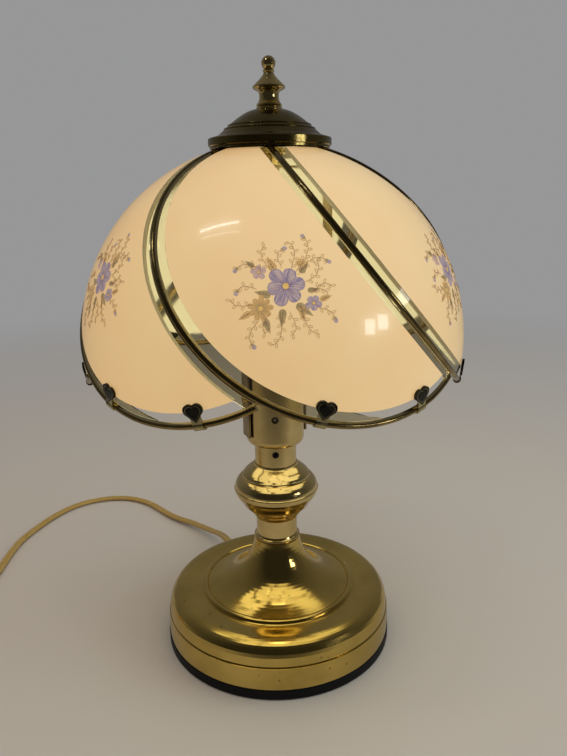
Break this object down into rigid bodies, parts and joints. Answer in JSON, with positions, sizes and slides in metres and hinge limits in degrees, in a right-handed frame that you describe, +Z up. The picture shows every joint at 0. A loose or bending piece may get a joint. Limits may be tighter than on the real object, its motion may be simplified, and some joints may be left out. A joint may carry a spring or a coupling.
{
  "type": "touch lamp",
  "caption": "Table touch lamp: brass base and turned post, strap harp, swirled petal-glass shade with wire edges, heart clips, domed cap and ball finial.",
  "frame": {"origin": "centre of the underside, on the table", "axes": "+Z up along the post, -Y towards the front of the picture, +X to its right"},
  "size_m": [0.418, 0.3052, 0.3451],
  "materials": {
    "felt": "pressed felt",
    "black_plastic": "moulded, glossy",
    "iron": "cast, unpainted",
    "steel": "zinc plated",
    "polished_brass": "polished and lacquered, with small dark pits",
    "base_brass": "polished and lacquered, a little tarnished",
    "module_case": "potted case",
    "wire_amber": "vinyl insulation",
    "wire_black": "vinyl insulation",
    "wire_white": "vinyl insulation",
    "wire_green": "vinyl insulation",
    "orange_plastic": "moulded",
    "black_steel": "blackened",
    "ceramic": "glazed porcelain",
    "fibre": "fibre board",
    "plated_brass": "plain",
    "lamp_cap_metal": "threaded cap",
    "frosted_glass": "frosted inside, lit",
    "black_glass": "fused insulator",
    "filament": "clear stem and wires",
    "shade_glass": "cream enamel with a clear bevelled edge and a floral spray",
    "wire_brass": "polished, a little darkened",
    "clip_brass": "dark stamped heart with a bright rim",
    "amber_vinyl": "translucent golden brown vinyl",
    "blade_metal": "plain",
    "tie_black": "vinyl strip"
  },
  "bodies": {
    "lamp": {"felt_pad": "felt", "bottom_cover": "black_plastic", "base_weight": "iron", "bottom_washer": "steel", "bottom_nut": "steel", "base_shell": "base_brass", "neck_nut": "steel", "touch_lug": "steel", "touch_lead": "wire_green", "control_module": "module_case", "supply_leads": "wire_amber", "module_leads": "wire_black", "socket_leads": "wire_white", "wire_nuts": "orange_plastic", "lamp_pipe": "steel", "check_ring": "polished_brass", "neck_tube": "polished_brass", "knob_lower": "polished_brass", "knob_upper": "polished_brass", "upper_tube": "polished_brass", "tube_screw": "black_steel", "socket_cup": "polished_brass", "cup_screw": "black_steel", "lock_washer": "steel", "top_nut": "steel", "socket_base": "ceramic", "centre_contact": "plated_brass", "screw_shell": "plated_brass", "socket_liner": "fibre", "harp": "wire_brass", "harp_screws": "polished_brass", "strain_relief": "amber_vinyl", "lamp_cord": "amber_vinyl", "cord_coil": "amber_vinyl", "cord_tie": "tie_black", "plug_body": "amber_vinyl", "plug_blades": "blade_metal"},
    "stud": {"harp_stud": "polished_brass"},
    "shade": {"petal_1": "shade_glass", "petal_2": "shade_glass", "petal_3": "shade_glass", "petal_4": "shade_glass", "petal_5": "shade_glass", "petal_6": "shade_glass", "petal_wire_1": "wire_brass", "petal_wire_2": "wire_brass", "petal_wire_3": "wire_brass", "petal_wire_4": "wire_brass", "petal_wire_5": "wire_brass", "petal_wire_6": "wire_brass", "heart_clips": "clip_brass", "shade_ring": "plated_brass", "shade_cap": "base_brass"},
    "finial": {"finial": "polished_brass"},
    "bulb": {"bulb_contact": "steel", "bulb_insulator": "black_glass", "bulb_cap": "lamp_cap_metal", "bulb_glass": "frosted_glass", "filament_mount": "filament"}
  },
  "joints": [
    {"name": "harp_swivel", "type": "hinge", "parent": "lamp", "child": "stud", "pos_m": [0, 0, 0.29], "axis": [0, 0, 1], "continuous": true},
    {"name": "shade_lift", "type": "slide", "parent": "stud", "child": "shade", "axis": [0, 0, 1], "range_m": [0, 0.135]},
    {"name": "finial_lift", "type": "slide", "parent": "shade", "child": "finial", "axis": [0, 0, 1], "range_m": [0, 0.012]},
    {"name": "bulb_lift", "type": "slide", "parent": "lamp", "child": "bulb", "axis": [0, 0, 1], "range_m": [0, 0.026]}
  ]
}
